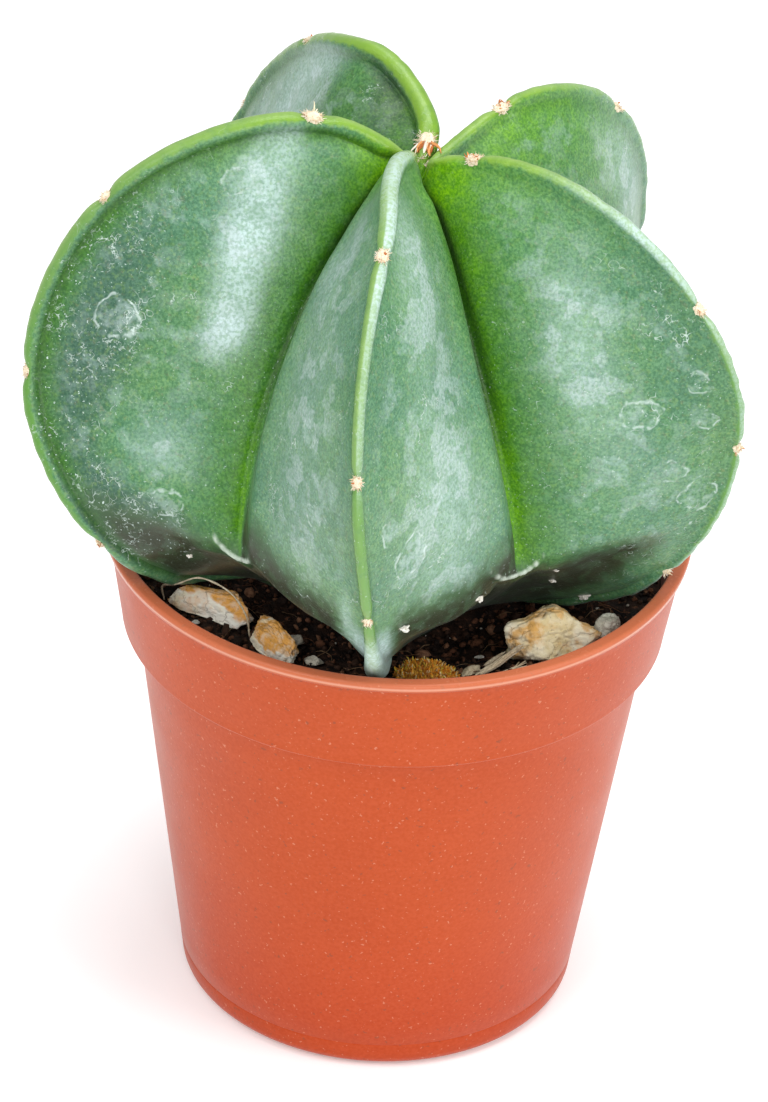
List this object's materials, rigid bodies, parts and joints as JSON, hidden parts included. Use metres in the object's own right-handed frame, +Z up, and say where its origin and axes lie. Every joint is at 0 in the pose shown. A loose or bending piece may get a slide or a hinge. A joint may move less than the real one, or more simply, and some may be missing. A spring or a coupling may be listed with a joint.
{
  "type": "potted bishop's cap cactus",
  "caption": "Young ribbed bishop's cap cactus with sharp crests and wool-tufted areoles, in gritty peat in a small tapered terracotta-coloured plastic nursery pot.",
  "frame": {"origin": "middle of the pot's underside, on the surface that the pot stands on", "axes": "+Z up the pot's axis; -Y is the front, where one rib looks with a valley on either hand; +X is to the viewer's right"},
  "size_m": [0.079, 0.0774, 0.1126],
  "materials": {
    "terracotta_plastic": "satin",
    "peat": "matte",
    "cactus_skin": "satin",
    "areole_wool": "matte",
    "ochre_stone": "matte",
    "grey_stone": "matte",
    "perlite": "matte",
    "moss": "matte",
    "straw": "matte"
  },
  "bodies": {
    "root": {"pot": "terracotta_plastic", "potting_soil": "peat", "cactus_body": "cactus_skin", "areole_front_1": "areole_wool", "areole_front_2": "areole_wool", "areole_front_3": "areole_wool", "areole_right_1": "areole_wool", "areole_right_2": "areole_wool", "areole_right_3": "areole_wool", "areole_right_4": "areole_wool", "areole_back_right_1": "areole_wool", "areole_back_right_2": "areole_wool", "areole_back_right_3": "areole_wool", "areole_back_right_4": "areole_wool", "areole_back_left_1": "areole_wool", "areole_back_left_2": "areole_wool", "areole_back_left_3": "areole_wool", "areole_back_left_4": "areole_wool", "areole_left_1": "areole_wool", "areole_left_2": "areole_wool", "areole_left_3": "areole_wool", "areole_left_4": "areole_wool", "stone_left_long": "ochre_stone", "stone_left_short": "ochre_stone", "stone_right_big": "ochre_stone", "stone_back_left": "ochre_stone", "stone_back_right": "ochre_stone", "stone_grey_front": "grey_stone", "stone_grey_left": "grey_stone", "stone_right_small": "grey_stone", "stone_back": "grey_stone", "perlite_front": "perlite", "perlite_left": "perlite", "perlite_mid": "perlite", "perlite_back": "perlite", "husk": "straw", "moss_clump": "moss", "straw_long": "straw", "straw_short": "straw", "straw_thin": "straw", "root_fibre": "straw"}
  },
  "joints": []
}
